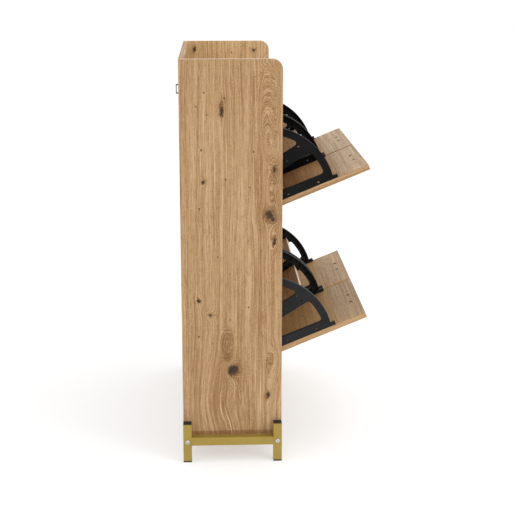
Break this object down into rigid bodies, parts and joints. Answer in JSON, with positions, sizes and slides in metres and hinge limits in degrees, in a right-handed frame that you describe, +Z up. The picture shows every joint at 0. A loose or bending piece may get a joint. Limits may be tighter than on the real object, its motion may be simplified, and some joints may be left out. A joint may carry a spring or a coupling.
{
  "type": "shoe cabinet",
  "caption": "Tall narrow oak-look shoe cabinet with flip-down drawers in two columns, an open top tray, an open cubby and a gold square-tube base.",
  "frame": {"origin": "on the floor, in the middle of the whole outline with the drawers open (from the open doors to the wall brackets); the middle of the 295 mm deep carcass is 123.5 mm behind it", "axes": "+X to the right seen from the front, -Y to the front (the side the drawers open to), +Z up"},
  "size_m": [0.857, 0.558, 1.2],
  "materials": {
    "oak": "knotty oak foil, satin",
    "oak_door": "greyish oak foil, satin",
    "oak_inner": "oak foil, satin",
    "oak_back": "printed hardboard",
    "beech": "plain beech",
    "gold": "satin gold lacquer",
    "black_plastic": "moulded black, satin",
    "rubber": "soft bumper",
    "zinc": "zinc plated",
    "dark_steel": "black oxide"
  },
  "bodies": {
    "carcass": {"side_panel_left": "oak", "side_panel_right": "oak", "partition_upper": "oak", "partition_lower": "oak", "top_board": "oak", "bottom_board": "oak", "back_rail": "oak", "mid_shelf": "oak", "cubby_shelf": "oak", "top_rail": "oak", "back_panel": "oak_back", "leg_front_left": "gold", "leg_front_right": "gold", "leg_rear_left": "gold", "leg_rear_right": "gold", "crossbar_left": "gold", "crossbar_right": "gold", "rail_front": "gold", "rail_rear": "gold", "leg_plugs": "black_plastic", "foot_pads": "black_plastic", "frame_bolts": "zinc", "cam_fittings": "zinc", "dowels": "beech", "pivot_bushes": "black_plastic", "stop_pegs": "zinc", "door_bumpers": "rubber", "wall_brackets": "dark_steel"},
    "upper_left_drawer": {"upper_left_door": "oak_door", "upper_left_frame_l": "black_plastic", "upper_left_frame_r": "black_plastic", "upper_left_mid_board": "oak_inner", "upper_left_base_board": "oak_inner", "upper_left_handle": "gold", "upper_left_pivot_pins": "zinc", "upper_left_screws": "dark_steel"},
    "upper_right_drawer": {"upper_right_door": "oak_door", "upper_right_frame_l": "black_plastic", "upper_right_frame_r": "black_plastic", "upper_right_mid_board": "oak_inner", "upper_right_base_board": "oak_inner", "upper_right_handle": "gold", "upper_right_pivot_pins": "zinc", "upper_right_screws": "dark_steel"},
    "lower_left_drawer": {"lower_left_door": "oak_door", "lower_left_frame_l": "black_plastic", "lower_left_frame_r": "black_plastic", "lower_left_mid_board": "oak_inner", "lower_left_base_board": "oak_inner", "lower_left_handle": "gold", "lower_left_pivot_pins": "zinc", "lower_left_screws": "dark_steel"},
    "lower_right_drawer": {"lower_right_door": "oak_door", "lower_right_frame_l": "black_plastic", "lower_right_frame_r": "black_plastic", "lower_right_mid_board": "oak_inner", "lower_right_base_board": "oak_inner", "lower_right_handle": "gold", "lower_right_pivot_pins": "zinc", "lower_right_screws": "dark_steel"}
  },
  "joints": [
    {"name": "upper_left_tip", "type": "hinge", "parent": "carcass", "child": "upper_left_drawer", "pos_m": [-0.1955, 0.02103, 0.806], "axis": [-1, 0, 0], "range_deg": [0, 67.6]},
    {"name": "upper_right_tip", "type": "hinge", "parent": "carcass", "child": "upper_right_drawer", "pos_m": [0.1955, 0.02103, 0.806], "axis": [-1, 0, 0], "range_deg": [0, 67.6]},
    {"name": "lower_left_tip", "type": "hinge", "parent": "carcass", "child": "lower_left_drawer", "pos_m": [-0.1955, 0.02103, 0.361], "axis": [-1, 0, 0], "range_deg": [0, 67.6]},
    {"name": "lower_right_tip", "type": "hinge", "parent": "carcass", "child": "lower_right_drawer", "pos_m": [0.1955, 0.02103, 0.361], "axis": [-1, 0, 0], "range_deg": [0, 67.6]}
  ]
}
